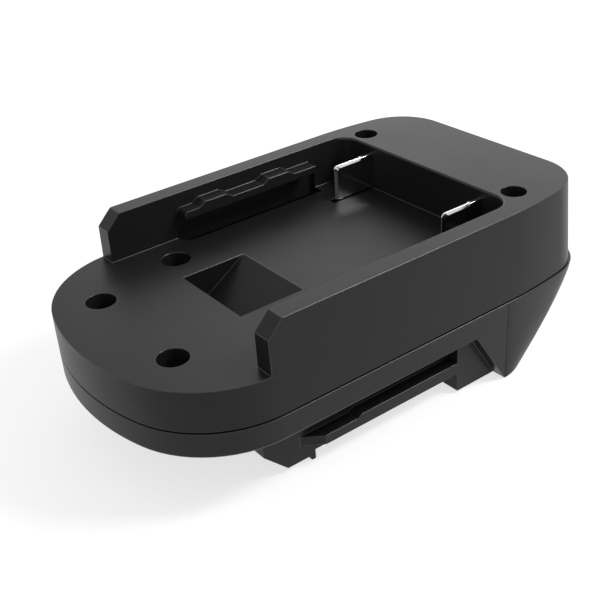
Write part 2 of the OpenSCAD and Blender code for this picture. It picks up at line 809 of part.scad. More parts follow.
module clip() {
    // Two spring leaves that flare at the mouth, pinch the tool's blade and join at a back plate
    leaf = [[0, 1.6], [2.2, 0.55], [4.2, 0.5], [clip_l - 1, clip_back], [clip_l, clip_back]];
    translate([clip_x0, 0, clip_z]) union() {
        for (s = [-1, 1]) linear_extrude(clip_h) polygon(concat(
            [for (p = leaf) [p.x, s * p.y]],
            [for (i = [len(leaf) - 1 : -1 : 0]) [leaf[i].x, s * (leaf[i].y + clip_t)]]
        ));
        block([clip_l - clip_t, -clip_back - clip_t / 2, 0], [clip_l, clip_back + clip_t / 2, clip_h]);
        block([clip_l - clip_t, -clip_t / 2, clip_h / 2 - clip_tail_h / 2],
              [clip_tail - clip_x0, clip_t / 2, clip_h / 2 + clip_tail_h / 2]);
    }
}

module positive_clip() {
    color("#c79a4b") translate([0, clip_gap / 2, 0]) clip();
}

module negative_clip() {
    color("#c79a4b") translate([0, -clip_gap / 2, 0]) clip();
}

module clip_carrier() {
    front = -foot_front + 2.4;
    color("#26272a") difference() {
        across(2 * clip_carrier_half) polygon([
            [front, clip_carrier_top], [front, lead_in_h + 1.2], [front + lead_in_l - 1.1, block_floor + 0.1],
            [clip_carrier_x1, block_floor + 0.1], [clip_carrier_x1, clip_carrier_top]
        ]);
        for (s = [-1, 1]) {
            block([clip_x0 - 0.2, s * clip_gap / 2 - clip_room, clip_z - 0.1],
                  [clip_x0 + clip_l + 0.1, s * clip_gap / 2 + clip_room, clip_carrier_top + cut]);
            block([front - cut, s * clip_gap / 2 - clip_slot_w / 2, clip_slot_low],
                  [clip_x0 + 1, s * clip_gap / 2 + clip_slot_w / 2, clip_z + clip_h]);
            block([clip_x0 + clip_l - 1, s * clip_gap / 2 - 0.4, clip_z + clip_h / 2 - clip_tail_h / 2 - 0.1],
                  [clip_carrier_x1 + cut, s * clip_gap / 2 + 0.4, clip_carrier_top + cut]);
        }
    }
}

module clip_cover() {
    front = -foot_front + 2.4;
    color("#26272a") difference() {
        block([front, -clip_carrier_half, clip_carrier_top],
              [clip_carrier_x1, clip_carrier_half, clip_carrier_top + cover_t]);
        for (x = [front + cover_hole_in, clip_carrier_x1 - cover_hole_in])
            translate([x, 0, clip_carrier_top - cut]) cylinder(h = cover_t + 2 * cut, d = cover_hole_d);
    }
}

// Leads: the route of the positive lead from its blade's tab to its clip's tail
side_run = 23.8;
route = [
    [tab_x, blade_gap / 2, tab_low + lead_d / 2], [tab_x - 2, blade_gap / 2, tab_low + lead_d / 2],
    [tab_x - 5, blade_gap / 2, parting_h - 0.9], [rear_block_x + 6, 22.4, belly_h + 3.8],
    [rear_block_x, 23, belly_h + 1.6],
    [catch_x + 2, side_run, 16], [catch_x - 6, side_run, 13.6], [catch_x - 14, 22, 11.8],
    [catch_x - 21, 18, 10.8], [clip_tail + 6, clip_gap / 2 + 2.5, clip_z + clip_h / 2 - 0.6],
    [clip_tail + 2, clip_gap / 2, clip_z + clip_h / 2],
    [clip_tail, clip_gap / 2, clip_z + clip_h / 2]
];

module positive_lead() {
    color("#b3231d") bar(route, lead_d / 2, 8, [0, 1, 0]);
}

module negative_lead() {
    color("#1b1b1c") mirror([0, 1, 0]) bar(route, lead_d / 2, 8, [0, 1, 0]);
}

// Latch

module latch_catch() {
    x0 = catch_x - catch_l / 2;
    x1 = catch_x + catch_l / 2;
    ramp = core_h - catch_tip_h;
    color("#4a4a4c") union() {
        across(catch_w) polygon([
            [x0, catch_top_h], [x0, core_h], [x0 + 1.6 * ramp, catch_tip_h],
            [x1, catch_tip_h], [x1, catch_top_h]
        ]);
        block([x0 - shoulder, 1 - catch_w / 2, foot_floor + 0.1],
              [x1 + shoulder, catch_w / 2 - 1, foot_floor + 0.1 + shoulder_t]);
        both_sides() beside(catch_w / 2 + prong_t, prong_t + cut) polygon([
            [wedge_x, wedge_low], [wedge_x + wedge_l, wedge_low + wedge_l],
            [wedge_x + wedge_l, catch_top_h], [wedge_x, catch_top_h]
        ]);
        for (s = [-1, 1]) translate([catch_x, s * spring_gap / 2, catch_top_h - cut])
            cylinder(h = cut + peg_l, d = peg_d);
    }
}

// How far up its height a spring has risen at part t of its wire, with a closed turn at each end
function rise(t) = t < 0.12 ? 0.4 * t : t > 0.88 ? 1 - 0.4 * (1 - t) : 0.048 + 0.904 * (t - 0.12) / 0.76;

// Compression spring of height h that stands at the given place
module spring(at, h) {
    turns = 5;
    steps = 14 * turns;
    r = (spring_d - spring_wire) / 2;
    bar([for (i = [0 : steps])
        let (a = 360 * turns * i / steps)
        at + [r * cos(a), r * sin(a), spring_wire / 2 + (h - spring_wire) * rise(i / steps)]],
        spring_wire / 2, 6, [0, 0, 1]);
}

module catch_spring_left() {
    color("#9a9da1") spring([catch_x, spring_gap / 2, catch_top_h], keeper_low - catch_top_h);
}

module catch_spring_right() {
    color("#9a9da1") spring([catch_x, -spring_gap / 2, catch_top_h], keeper_low - catch_top_h);
}

module latch_keeper() {
    color("#2c2c2f") difference() {
        union() {
            block([catch_x - keeper_w / 2, -keeper_half, keeper_low],
                  [catch_x + keeper_w / 2, keeper_half, keeper_low + keeper_t]);
            for (s = [-1, 1]) translate([catch_x, s * spring_gap / 2, keeper_low - peg_l])
                cylinder(h = peg_l + keeper_t / 2, d = peg_d);
        }
        for (s = [-1, 1]) translate([catch_x, s * keeper_post_y, keeper_low - cut])
            cylinder(h = keeper_t + 2 * cut, d = small_shank_d + 0.3);
    }
}

// Front end of the prongs at height z, a small gap behind the wedges of the catch
function prong_x(z) = wedge_x + z - wedge_low + wedge_gap;

module release_button() {
    color("#2b2b2e") union() {
        both_sides() beside(prong_in + prong_t, prong_t - slide_gap) polygon([
            [prong_x(prong_low), prong_low], [prong_x(arm_top), arm_top], [arm_x0 + 2, arm_top],
            [arm_x0 + 2, prong_low]
        ]);
        block([arm_x0, -prong_in - prong_t, arm_top - arm_t],
              [tail_x(arm_top - arm_t) - cut, prong_in + prong_t, arm_top]);
        difference() {
            union() {
                across(button_w) button_profile(button_proud, button_x0);
                across(button_w + 2 * button_ear)
                    button_profile(-shell_t - tail_extra - slide_gap, button_x0);
            }
            across(button_w - 2 * button_wall) intersection() {
                button_profile(-button_wall, button_x0 - cut);
                translate([0, button_h + button_wall]) square([rim_x, button_t - 2 * button_wall]);
            }
        }
    }
}

// Side view of the button from x0 back, with its outer face past the tail's rear face
module button_profile(past, x0) {
    steps = 6;
    polygon(concat(
        [[x0, button_h]],
        [for (i = [0 : steps])
            let (z = button_h + button_t * i / steps) [min(rim_x, tail_x(z) + past), z]],
        [[x0, button_h + button_t]]
    ));
}

upper_shell();
lower_shell();
deck_screws();
rear_screws();
positive_blade();
negative_blade();
blade_carrier();
carrier_screws();
positive_clip();
negative_clip();
clip_carrier();
clip_cover();
positive_lead();
negative_lead();
latch_catch();
catch_spring_left();
catch_spring_right();
latch_keeper();
keeper_screws();
release_button();
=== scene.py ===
# %% [markdown]
# # A battery adapter in black plastic
# The object is a slide-on adapter between a cordless tool and a battery pack. Its shape comes from
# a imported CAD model, which this script loads as its frame. Blender adds what the CAD leaves out:
# rounded edges, moulded grain, plated metal, turned screws and light. All lengths are in metres, so
# a measure in millimetres is written as a number times `MM`.

# %% Load the frame
import bpy
import bmesh
import json
import math
from contextlib import contextmanager
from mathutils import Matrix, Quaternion, Vector

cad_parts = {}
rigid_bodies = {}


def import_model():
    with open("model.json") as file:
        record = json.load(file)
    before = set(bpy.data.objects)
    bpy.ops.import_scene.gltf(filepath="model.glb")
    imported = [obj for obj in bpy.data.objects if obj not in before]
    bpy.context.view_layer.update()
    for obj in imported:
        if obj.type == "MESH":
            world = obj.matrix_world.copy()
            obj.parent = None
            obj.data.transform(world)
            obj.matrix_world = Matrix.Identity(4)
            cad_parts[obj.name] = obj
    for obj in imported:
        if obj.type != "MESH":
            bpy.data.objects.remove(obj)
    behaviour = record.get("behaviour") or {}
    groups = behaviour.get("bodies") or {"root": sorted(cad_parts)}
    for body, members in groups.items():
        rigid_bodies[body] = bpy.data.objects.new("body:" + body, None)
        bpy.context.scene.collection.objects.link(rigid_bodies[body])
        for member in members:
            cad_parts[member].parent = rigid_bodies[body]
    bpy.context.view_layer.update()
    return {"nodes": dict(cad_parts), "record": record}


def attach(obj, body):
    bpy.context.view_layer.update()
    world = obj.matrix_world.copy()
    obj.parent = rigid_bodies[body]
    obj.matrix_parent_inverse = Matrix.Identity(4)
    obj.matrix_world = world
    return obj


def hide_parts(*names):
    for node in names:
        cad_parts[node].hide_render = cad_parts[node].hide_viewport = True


for leftover in list(bpy.data.objects):
    bpy.data.objects.remove(leftover)

MM = 0.001
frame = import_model()
print("nodes loaded:", len(frame["nodes"]))

# %% [markdown]
# ## Shader maths that reads like maths
# A shader is a graph of nodes. Writing `a * 0.5 + b` is easier than wiring each node by hand, so
# `Wire` wraps an output socket and adds a Math node for each operator. Colours don't pass through
# Math nodes, which would turn them grey: they go through a Mix node.

# %% A small shader language
class Wire:
    """The output of a node, which can be added, multiplied and compared like a number."""

    def __init__(self, shader, socket):
        self.shader = shader
        self.socket = socket

    def math(self, operation, first, second):
        return self.shader.node("ShaderNodeMath", {"operation": operation}, {0: first, 1: second})

    def __add__(self, other):
        return self.math("ADD", self, other)

    def __radd__(self, other):
        return self.math("ADD", other, self)

    def __sub__(self, other):
        return self.math("SUBTRACT", self, other)

    def __rsub__(self, other):
        return self.math("SUBTRACT", other, self)

    def __mul__(self, other):
        return self.math("MULTIPLY", self, other)

    def __rmul__(self, other):
        return self.math("MULTIPLY", other, self)

    def __gt__(self, other):
        return self.math("GREATER_THAN", self, other)


class Shader:
    """A material, with one method that adds any node and short ones for those used most."""

    def __init__(self, name):
        self.material = bpy.data.materials.new(name)
        self.material.use_nodes = True
        self.tree = self.material.node_tree
        self.surface = self.tree.nodes["Principled BSDF"]

    def feed(self, socket, value):
        if isinstance(value, Wire):
            self.tree.links.new(value.socket, socket)
        else:
            socket.default_value = value

    def node(self, kind, settings, values, output=0):
        node = self.tree.nodes.new(kind)
        for key, value in settings.items():
            setattr(node, key, value)
        for key, value in values.items():
            self.feed(node.inputs[key], value)
        return Wire(self, node.outputs[output])

    def noise(self, cells, detail, stretch=(1, 1, 1)):
        """Noise on Object coordinates, with so many cells in a metre."""
        place = self.node("ShaderNodeTexCoord", {}, {}, "Object")
        place = self.node("ShaderNodeVectorMath", {"operation": "MULTIPLY"}, {0: place, 1: stretch})
        return self.node("ShaderNodeTexNoise", {}, {"Vector": place, "Scale": cells, "Detail": detail})

    def mix(self, amount, dark, light):
        return self.node("ShaderNodeMix", {"data_type": "RGBA"},
                         {"Factor": amount, "A": (*dark, 1), "B": (*light, 1)}, "Result")

    def bump(self, height, depth, strength):
        normal = self.node("ShaderNodeBump", {},
                           {"Height": height, "Distance": depth, "Strength": strength})
        self.feed(self.surface.inputs["Normal"], normal)

    def finish(self, values):
        for key, value in values.items():
            self.feed(self.surface.inputs[key], value)
        return self.material


# %% [markdown]
# ## Black moulded plastic
# A moulded face is never one flat black. The mould is spark eroded, which leaves a grain of a few
# tenths of a millimetre, and the plastic's gloss drifts slowly over each face where it cooled. An
# image of grain would need every face unwrapped, while noise on Object coordinates fits any piece.
# So three noises drive each plastic: a fine grain, a coarser speckle and a broad drift. Grain and
# speckle make the bump, drift and grain the gloss, and drift and speckle the colour. A low specular
# level keeps the upright faces as dark as they really are. The grain fades towards an edge and
# hands polish what is left of it, so the rounded edges of the two shells have a smoother finish of
# their own.

# %% Plastics
NOISE_MIDDLE = 0.5
GRAIN_CELLS = 3600
SPECKLE_CELLS = 1100
DRIFT_CELLS = 38
GRAIN_STRENGTH = 0.5
DRIFT_IN_GLOSS = 0.10
GRAIN_IN_GLOSS = 0.08
FACE_SHINE = 0.2


def plastic(name, dark, light, gloss, grain_depth, shine=FACE_SHINE):
    s = Shader(name)
    grain = s.noise(GRAIN_CELLS, 2)
    speckle = s.noise(SPECKLE_CELLS, 2)
    drift = s.noise(DRIFT_CELLS, 3)
    s.bump(grain * 0.7 + speckle * 0.3, grain_depth, GRAIN_STRENGTH)
    return s.finish({
        "Base Color": s.mix(drift * 0.6 + speckle * 0.4, dark, light),
        "Roughness": gloss + DRIFT_IN_GLOSS * (drift - NOISE_MIDDLE)
        + GRAIN_IN_GLOSS * (grain - NOISE_MIDDLE),
        "Specular IOR Level": shine,
    })


def names_of(looks):
    return [look.name for look in looks]


UPPER_DARK, UPPER_LIGHT = (0.0052, 0.0052, 0.0055), (0.0086, 0.0086, 0.0090)
LOWER_DARK, LOWER_LIGHT = (0.0070, 0.0070, 0.0075), (0.0110, 0.0110, 0.0116)
INNER_DARK, INNER_LIGHT = (0.0060, 0.0060, 0.0065), (0.0100, 0.0100, 0.0105)
LATCH_DARK, LATCH_LIGHT = (0.0140, 0.0140, 0.0145), (0.0200, 0.0200, 0.0206)
FACE_GRAIN = 0.012 * MM
EDGE_GRAIN = 0.006 * MM
INNER_GRAIN = 0.02 * MM
EDGE_GLOSS = 0.30

upper_black = plastic("upper_black", UPPER_DARK, UPPER_LIGHT, 0.38, FACE_GRAIN)
lower_black = plastic("lower_black", LOWER_DARK, LOWER_LIGHT, 0.36, FACE_GRAIN)
upper_edge = plastic("upper_edge", UPPER_DARK, UPPER_LIGHT, EDGE_GLOSS, EDGE_GRAIN, shine=0.5)
lower_edge = plastic("lower_edge", LOWER_DARK, LOWER_LIGHT, EDGE_GLOSS, EDGE_GRAIN, shine=0.4)
inner_black = plastic("inner_black", INNER_DARK, INNER_LIGHT, 0.50, INNER_GRAIN)
latch_grey = plastic("latch_grey", LATCH_DARK, LATCH_LIGHT, 0.45, INNER_GRAIN)
print("faces:", names_of([upper_black, lower_black, inner_black, latch_grey]))
print("rounded edges:", names_of([upper_edge, lower_edge]))

# %% [markdown]
# ## Plated and drawn metal
# The blades are punched from nickel-plated strip, whose rolling lines run along its length, so the
# noise is stretched along X. Screws are dark steel with a cloudier film. Spring wire and brass
# clips are drawn, with their lines along the wire or strip. One function makes all four, because
# they differ only in colour, gloss and the way their lines run.

# %% Metals
FILM_CELLS = 160
LINE_DEPTH = 0.004 * MM
LINE_STRENGTH = 0.35
LINES_IN_GLOSS = 0.12
FILM_IN_GLOSS = 0.06


def metal(name, dark, light, gloss, lines, stretch):
    s = Shader(name)
    drawn = s.noise(lines, 3, stretch)
    film = s.noise(FILM_CELLS, 2)
    s.bump(drawn, LINE_DEPTH, LINE_STRENGTH)
    return s.finish({
        "Base Color": s.mix(film * 0.5 + drawn * 0.5, dark, light),
        "Metallic": 1.0,
        "Roughness": gloss + LINES_IN_GLOSS * (drawn - NOISE_MIDDLE)
        + FILM_IN_GLOSS * (film - NOISE_MIDDLE),
    })


nickel = metal("nickel", (0.62, 0.62, 0.61), (0.80, 0.80, 0.79),
               gloss=0.15, lines=900, stretch=(0.12, 1, 6))
dark_steel = metal("dark_steel", (0.10, 0.10, 0.11), (0.17, 0.17, 0.18),
                   gloss=0.38, lines=1500, stretch=(1, 1, 1))
spring_wire = metal("spring_wire", (0.42, 0.43, 0.45), (0.58, 0.59, 0.60),
                    gloss=0.30, lines=1800, stretch=(1, 1, 0.3))
spring_brass = metal("spring_brass", (0.52, 0.34, 0.13), (0.70, 0.49, 0.22),
                     gloss=0.30, lines=900, stretch=(0.15, 1, 4))
print("metals:", names_of([nickel, dark_steel, spring_wire, spring_brass]))

# %% [markdown]
# ## Wire insulation
# The two leads inside are soft vinyl, extruded along the wire, so the streaks run with it. Most of
# each lead runs along X, and a noise that is stretched along X is enough for a piece that hides
# inside the housing.

# %% Insulation
STREAK_CELLS = 700
STREAK_DEPTH = 0.01 * MM
STREAK_STRENGTH = 0.4
VINYL_GLOSS = 0.34
STREAKS_IN_GLOSS = 0.1


def insulation(name, dark, light):
    s = Shader(name)
    streak = s.noise(STREAK_CELLS, 2, (0.15, 1, 1))
    s.bump(streak, STREAK_DEPTH, STREAK_STRENGTH)
    return s.finish({
        "Base Color": s.mix(streak, dark, light),
        "Roughness": VINYL_GLOSS + STREAKS_IN_GLOSS * (streak - NOISE_MIDDLE),
    })


red_wire = insulation("red_wire", (0.34, 0.012, 0.008), (0.46, 0.025, 0.015))
black_wire = insulation("black_wire", (0.012, 0.012, 0.012), (0.022, 0.022, 0.022))
print("insulation:", names_of([red_wire, black_wire]))

# %% [markdown]
# ## Dress the CAD nodes
# Every node gets its finish here. The pieces inside the housing keep their CAD mesh, so this is all
# they need. The nodes that are replaced further on get theirs as well, because a rounded piece
# starts as a copy of its node and takes the finish along.

# %% Materials on the nodes
LOOKS = {
    "upper_shell": upper_black, "lower_shell": lower_black,
    "deck_screws": dark_steel, "rear_screws": dark_steel,
    "carrier_screws": dark_steel, "keeper_screws": dark_steel,
    "positive_blade": nickel, "negative_blade": nickel,
    "blade_carrier": inner_black, "clip_carrier": inner_black,
    "clip_cover": inner_black, "latch_keeper": inner_black,
    "positive_clip": spring_brass, "negative_clip": spring_brass,
    "positive_lead": red_wire, "negative_lead": black_wire,
    "latch_catch": latch_grey, "release_button": latch_grey,
    "catch_spring_left": spring_wire, "catch_spring_right": spring_wire,
}


def dress(piece, look):
    piece.data.materials.clear()
    piece.data.materials.append(look)


for name, node in frame["nodes"].items():
    dress(node, LOOKS[name])
print("materials:", len(set(LOOKS.values())), "on", len(LOOKS), "nodes")

# %% [markdown]
# ## Modelling by hand, in code
# The pieces below are shaped with the operators that an artist would click. An operator acts on
# whatever is selected, so each helper first clears the selection. Points, edges and faces are then
# picked by where they lie, which is the code's way of clicking on them.

# %% Helpers for edit mode
BODIES = frame["record"]["behaviour"]["bodies"]
BODY_OF = {node: body for body, nodes in BODIES.items() for node in nodes}


def only(*pieces):
    bpy.ops.object.select_all(action="DESELECT")
    for piece in pieces:
        piece.select_set(True)
    bpy.context.view_layer.objects.active = pieces[0]


@contextmanager
def editing(piece, kind="EDGE"):
    only(piece)
    bpy.ops.object.mode_set(mode="EDIT")
    bpy.ops.mesh.select_mode(type=kind)
    bpy.ops.mesh.select_all(action="DESELECT")
    yield
    bpy.ops.object.mode_set(mode="OBJECT")


def pick(piece, parts, wanted):
    """Select the wanted ones of an edited piece's verts, edges or faces, and count them."""
    mesh = bmesh.from_edit_mesh(piece.data)
    picked = [part for part in getattr(mesh, parts) if wanted(part)]
    for part in picked:
        part.select_set(True)
    bmesh.update_edit_mesh(piece.data)
    return len(picked)


def settle(piece, node):
    """The piece takes over from a CAD node, with its body."""
    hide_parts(node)
    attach(piece, BODY_OF[node])


# %% [markdown]
# ## Rounded copies of the moulded pieces
# The upper shell is the half with the bay that the pack slides into, and the catch is the sprung
# tooth that holds the adapter in the tool. No moulded edge is truly sharp: a radius of a few tenths
# of a millimetre catches the light as a fine bright line, and that line is most of what makes a
# black object readable. A bevel in the shader would be quicker, but an exported mesh loses it. So
# each node is copied, its loose triangles are merged and flat areas dissolved to whole faces.
# Edges shorter than 0.13 mm are closed up, because a bevel folds over itself on them and leaves a
# dark line. Every edge that turns by more than 28 degrees then gets three strips, and faces that
# the bevel left without area are dissolved. A weighted normal modifier keeps the big faces flat and
# lets only the strips shade round.

# %% Round the edges of a copied node
MERGE = 0.002 * MM
SHORT_EDGE = 0.13 * MM
FLAT_ANGLE = math.radians(0.5)
SHARP_ANGLE = math.radians(28)
SMOOTH_ANGLE = math.radians(40)
STRIPS = 3
ROUND_PROFILE = 0.5
EDGE_SLOT = 1


def smooth(piece, angle):
    only(piece)
    bpy.ops.object.shade_smooth_by_angle(angle=angle)
    weigh = piece.modifiers.new("weigh", "WEIGHTED_NORMAL")
    weigh.keep_sharp = True
    bpy.ops.object.modifier_apply(modifier=weigh.name)


def copied(node, name):
    piece = bpy.data.objects.new(name, frame["nodes"][node].data.copy())
    bpy.context.collection.objects.link(piece)
    with editing(piece):
        bpy.ops.mesh.select_all(action="SELECT")
        bpy.ops.mesh.remove_doubles(threshold=MERGE)
        bpy.ops.mesh.dissolve_limited(angle_limit=FLAT_ANGLE)
        bpy.ops.mesh.select_all(action="SELECT")
        bpy.ops.mesh.dissolve_degenerate(threshold=SHORT_EDGE)
    return piece


def rounded(node, name, radius, extra=None, angle=SMOOTH_ANGLE, edge_look=None):
    """A copy of a node with round edges, and what `extra` adds to it, takes the node's place."""
    piece = copied(node, name)
    piece.data.materials.append(edge_look or LOOKS[node])
    with editing(piece):
        edges = pick(piece, "edges", lambda edge: edge.calc_face_angle(0) > SHARP_ANGLE)
        bpy.ops.mesh.bevel(offset=radius, segments=STRIPS, profile=ROUND_PROFILE, affect="EDGES",
                           clamp_overlap=False, material=EDGE_SLOT)
        bpy.ops.mesh.select_all(action="SELECT")
        bpy.ops.mesh.dissolve_degenerate(threshold=MERGE)
    if extra:
        extra(piece)
    smooth(piece, angle)
    settle(piece, node)
    print(name, "has", edges, "rounded edges and", len(piece.data.polygons), "faces")


SHELL_RADIUS = 0.18 * MM
CATCH_RADIUS = 0.20 * MM
rounded("upper_shell", "upper_shell_moulded", SHELL_RADIUS, edge_look=upper_edge)
rounded("latch_catch", "latch_catch_moulded", CATCH_RADIUS)

# %% [markdown]
# ## The lower shell and its mould line
# The lower shell is the half with the foot that slides into the tool. The photograph shows a fine
# upright line on its side, where a slide of the mould met its fixed half. A dark line in the
# material would look like paint. Three cuts across the side faces give them three edge loops
# instead, and pushing the middle one in by 0.16 mm leaves a groove that only shows as a shadow.

# %% Lower shell with a mould line
MOULD_LINE_X = 32.65 * MM
MOULD_LINE_W = 0.24 * MM
MOULD_LINE_DEPTH = 0.16 * MM
SIDE_Y = 38 * MM
STRAIGHT_ON = 0.9


def on_side(face):
    return abs(face.normal.y) > STRAIGHT_ON and abs(face.calc_center_median().y) > SIDE_Y


def on_middle_cut(v):
    return abs(v.co.x - MOULD_LINE_X) < MERGE and abs(v.co.y) > SIDE_Y


def mould_line(piece):
    for shift in (-0.5, 0, 0.5):
        x = MOULD_LINE_X + shift * MOULD_LINE_W
        with editing(piece, "FACE"):
            pick(piece, "faces", on_side)
            bpy.ops.mesh.bisect(plane_co=(x, 0, 0), plane_no=(1, 0, 0))
    with editing(piece, "VERT"):
        mesh = bmesh.from_edit_mesh(piece.data)
        pushed = [v for v in mesh.verts if on_middle_cut(v)]
        for v in pushed:
            v.co.y -= math.copysign(MOULD_LINE_DEPTH, v.co.y)
        bmesh.update_edit_mesh(piece.data)
    print("mould line of", len(pushed), "points")


rounded("lower_shell", "lower_shell_moulded", SHELL_RADIUS, extra=mould_line, edge_look=lower_edge)

# %% [markdown]
# ## The blade terminals
# Two flat blades enter the pack. The CAD blades already have their coined slopes, and the punch
# leaves edges a few hundredths of a millimetre round. They could be shaded smooth all over, but a
# small smoothing angle keeps each slope as a crisp band of its own, as on stamped metal.

# %% Blades
BLADE_RADIUS = 0.07 * MM
BLADE_SMOOTH = math.radians(15)
rounded("positive_blade", "positive_blade_plated", BLADE_RADIUS, angle=BLADE_SMOOTH)
rounded("negative_blade", "negative_blade_plated", BLADE_RADIUS, angle=BLADE_SMOOTH)

# %% [markdown]
# ## The release button
# Its face takes a thumb, so four shallow grip grooves are cut across it. A bump in the material
# would look flat from the side, so they are real. The cutter is a row of cylinders, each centred
# just outside the face, so only a shallow slice of it bites. A ray sent at the CAD button from
# behind tells where the face is at each height.

# %% Button with grip grooves
def cut_away(piece, cutter):
    """Cut the cutter's shape out of the piece. Parts of the cutter may cross each other."""
    only(piece)
    bite = piece.modifiers.new("bite", "BOOLEAN")
    bite.operation = "DIFFERENCE"
    bite.solver = "EXACT"
    bite.use_self = True
    bite.object = cutter
    bpy.ops.object.modifier_apply(modifier=bite.name)
    bpy.data.objects.remove(cutter)


def joined(pieces, name):
    """One object at the origin out of several."""
    only(*pieces)
    bpy.ops.object.join()
    whole = bpy.context.object
    whole.name = name
    bpy.ops.object.transform_apply(location=True, rotation=True, scale=True)
    return whole


BUTTON_RADIUS = 0.25 * MM
GRIP_HEIGHTS = [height * MM for height in (8.3, 9.8, 11.3, 12.8)]
GRIP_R = 0.7 * MM
GRIP_BITE = 0.25 * MM
GRIP_L = 21 * MM
GRIP_SIDES = 24
RAY_START_X = 200 * MM
QUARTER_TURN = math.pi / 2


def grip(piece):
    button_cad = frame["nodes"]["release_button"]
    rods = []
    for height in GRIP_HEIGHTS:
        _, place, normal, _ = button_cad.ray_cast((RAY_START_X, 0, height), (-1, 0, 0))
        middle = place + normal * (GRIP_R - GRIP_BITE)
        bpy.ops.mesh.primitive_cylinder_add(vertices=GRIP_SIDES, radius=GRIP_R, depth=GRIP_L,
                                            location=middle, rotation=(QUARTER_TURN, 0, 0))
        rods.append(bpy.context.object)
    cut_away(piece, joined(rods, "grip_cutter"))
    print("grip grooves:", len(rods))


rounded("release_button", "release_button_moulded", BUTTON_RADIUS, extra=grip)

# %% [markdown]
# ## Screws
# Short screws close the housing and hold the pieces inside it. A plain CAD cylinder in a well would
# show as a disc, so one screw is modelled for each size and then copied. Its head is a cylinder
# whose top rim is bevelled into a dome, with a tapered cross cut out of it. The measures below are
# shares of the head or of the shank, so that every size keeps the same looks.

# %% The head and its cross
HEAD_SIDES = 40
RIM_LEVEL = 0.9
DOME, DOME_STRIPS = 0.42, 5
CROSS_REACH, CROSS_WIDTH, CROSS_DEPTH = 1.2, 0.26, 1.3
CROSS_TAPER = 0.5


def upright_cylinder(sides, radius, height, middle_z):
    bpy.ops.mesh.primitive_cylinder_add(vertices=sides, radius=radius, depth=height,
                                        location=(0, 0, middle_z))
    bpy.ops.object.transform_apply(location=True)
    return bpy.context.object


def screw_head(radius, height):
    """A domed head with a cross recess, sitting on the plane z = 0."""
    head = upright_cylinder(HEAD_SIDES, radius, height, height / 2)
    with editing(head):
        pick(head, "edges", lambda edge: min(v.co.z for v in edge.verts) > height * RIM_LEVEL)
        bpy.ops.mesh.bevel(offset=height * DOME, segments=DOME_STRIPS, profile=ROUND_PROFILE,
                           affect="EDGES")
    wing_size = (radius * CROSS_REACH, radius * CROSS_WIDTH, height * CROSS_DEPTH)
    wings = []
    for turn in (0, QUARTER_TURN):
        bpy.ops.mesh.primitive_cube_add(size=1, location=(0, 0, height), rotation=(0, 0, turn),
                                        scale=wing_size)
        wing = bpy.context.object
        with editing(wing, "VERT"):
            pick(wing, "verts", lambda v: v.co.z < 0)
            bpy.ops.transform.resize(value=(CROSS_TAPER, CROSS_TAPER, 1), center_override=(0, 0, 0))
        wings.append(wing)
    cut_away(head, joined(wings, "cross_cutter"))
    return head


# %% [markdown]
# ## The shank and its thread
# The shank is a cylinder whose lower end is extruded and pinched to a point. The thread is a
# triangle that a Screw modifier sweeps up the shank. It could be left out, as it is hidden in its
# hole, but then the screw would be wrong as soon as somebody takes it out.

# %% A whole screw
SHANK_SIDES = 24
CORE = 0.74
PITCH = 0.7
TIP = 0.25
INTO_HEAD = 0.2
THREAD_STEPS = 20
SCREW_SMOOTH = math.radians(35)


def screw_shank(core_r, length, point, into_head):
    """A core from just inside the head down to its point at z = -length."""
    straight = length - point
    shank = upright_cylinder(SHANK_SIDES, core_r, straight + into_head, (into_head - straight) / 2)
    with editing(shank, "FACE"):
        pick(shank, "faces", lambda face: face.normal.z < -STRAIGHT_ON)
        bpy.ops.mesh.extrude_region_move(TRANSFORM_OT_translate={"value": (0, 0, -point)})
        bpy.ops.transform.resize(value=(TIP, TIP, 1), center_override=(0, 0, -length))
    return shank


def screw_thread(core_r, tooth, pitch, turns, straight):
    """A triangular ridge that winds up the core, closed at both ends."""
    bpy.ops.mesh.primitive_circle_add(vertices=3, radius=tooth, location=(core_r, 0, -straight),
                                      rotation=(QUARTER_TURN, QUARTER_TURN, 0))
    thread = bpy.context.object
    bpy.ops.object.transform_apply(location=True, rotation=True)
    sweep = thread.modifiers.new("sweep", "SCREW")
    sweep.screw_offset = pitch
    sweep.iterations = turns
    sweep.steps = sweep.render_steps = THREAD_STEPS
    bpy.ops.object.modifier_apply(modifier=sweep.name)
    with editing(thread):
        bpy.ops.mesh.select_all(action="SELECT")
        bpy.ops.mesh.fill_holes(sides=3)
        bpy.ops.mesh.select_all(action="SELECT")
        bpy.ops.mesh.normals_make_consistent(inside=False)
    return thread


def turned_screw(head_r, head_h, shank_r, length):
    core_r = shank_r * CORE
    pitch = shank_r * PITCH
    point = shank_r
    straight = length - point
    turns = int((straight - pitch) / pitch)
    head = screw_head(head_r, head_h)
    shank = screw_shank(core_r, length, point, head_h * INTO_HEAD)
    thread = screw_thread(core_r, shank_r - core_r, pitch, turns, straight)
    screw = joined([head, shank, thread], "screw_model")
    smooth(screw, SCREW_SMOOTH)
    print("screw of", len(screw.data.polygons), "faces and", turns, "turns of thread")
    return screw


# %% [markdown]
# ## Where the screws stand
# The places could be typed in, but they come from the CAD, so that they stay right when it changes.
# Each node holds several solids. They are told apart by walking from point to point along the
# edges, and each solid's box says where a screw stands.

